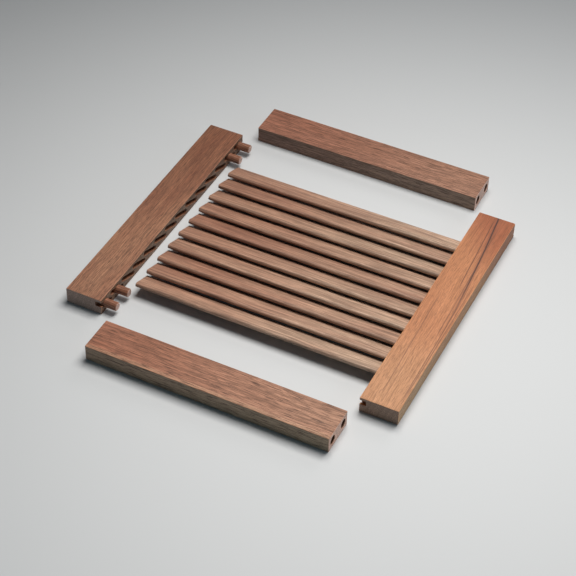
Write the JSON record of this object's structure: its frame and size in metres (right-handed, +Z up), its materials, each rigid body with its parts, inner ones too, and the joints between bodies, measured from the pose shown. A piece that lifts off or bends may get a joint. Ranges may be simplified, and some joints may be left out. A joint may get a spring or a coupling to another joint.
{
  "type": "slatted wooden bath mat",
  "caption": "Flat hardwood duckboard bath mat laid out in loose pieces: grooved side boards, cross rails, tilted slats and round dowels.",
  "frame": {"origin": "middle of the whole layout's box in plan, on the floor that every piece lies on", "axes": "+X runs along the slats and rails towards the right stile, +Y runs along the stiles towards the back rail and +Z is up"},
  "size_m": [0.478, 0.5594, 0.024],
  "materials": {
    "right_stile": "satin",
    "left_stile": "satin",
    "back_rail": "satin",
    "front_rail": "satin",
    "slats": "satin",
    "dowels": "satin"
  },
  "bodies": {
    "right_stile": {"right_stile": "right_stile", "slat_01": "slats", "slat_02": "slats", "slat_03": "slats", "slat_04": "slats", "slat_05": "slats", "slat_06": "slats", "slat_07": "slats", "slat_08": "slats", "slat_09": "slats", "slat_10": "slats"},
    "left_stile": {"left_stile": "left_stile", "left_dowel_front_outer": "dowels", "left_dowel_front_inner": "dowels", "left_dowel_back_inner": "dowels", "left_dowel_back_outer": "dowels"},
    "back_rail": {"back_rail": "back_rail"},
    "front_rail": {"front_rail": "front_rail"},
    "right_dowels": {"right_dowel_front_outer": "dowels", "right_dowel_front_inner": "dowels", "right_dowel_back_inner": "dowels", "right_dowel_back_outer": "dowels"}
  },
  "joints": [
    {"name": "left_stile_slide", "type": "slide", "parent": "right_stile", "child": "left_stile", "axis": [1, 0, 0], "range_m": [0, 0.028]},
    {"name": "back_rail_slide", "type": "slide", "parent": "right_stile", "child": "back_rail", "axis": [0.1985, -0.9801, 0], "range_m": [0, 0.0806]},
    {"name": "front_rail_slide", "type": "slide", "parent": "right_stile", "child": "front_rail", "axis": [0.0423, 0.9991, 0], "range_m": [0, 0.08037]},
    {"name": "right_dowels_slide", "type": "slide", "parent": "right_stile", "child": "right_dowels", "axis": [-1, 0, 0], "range_m": [0, 0.0188]}
  ]
}
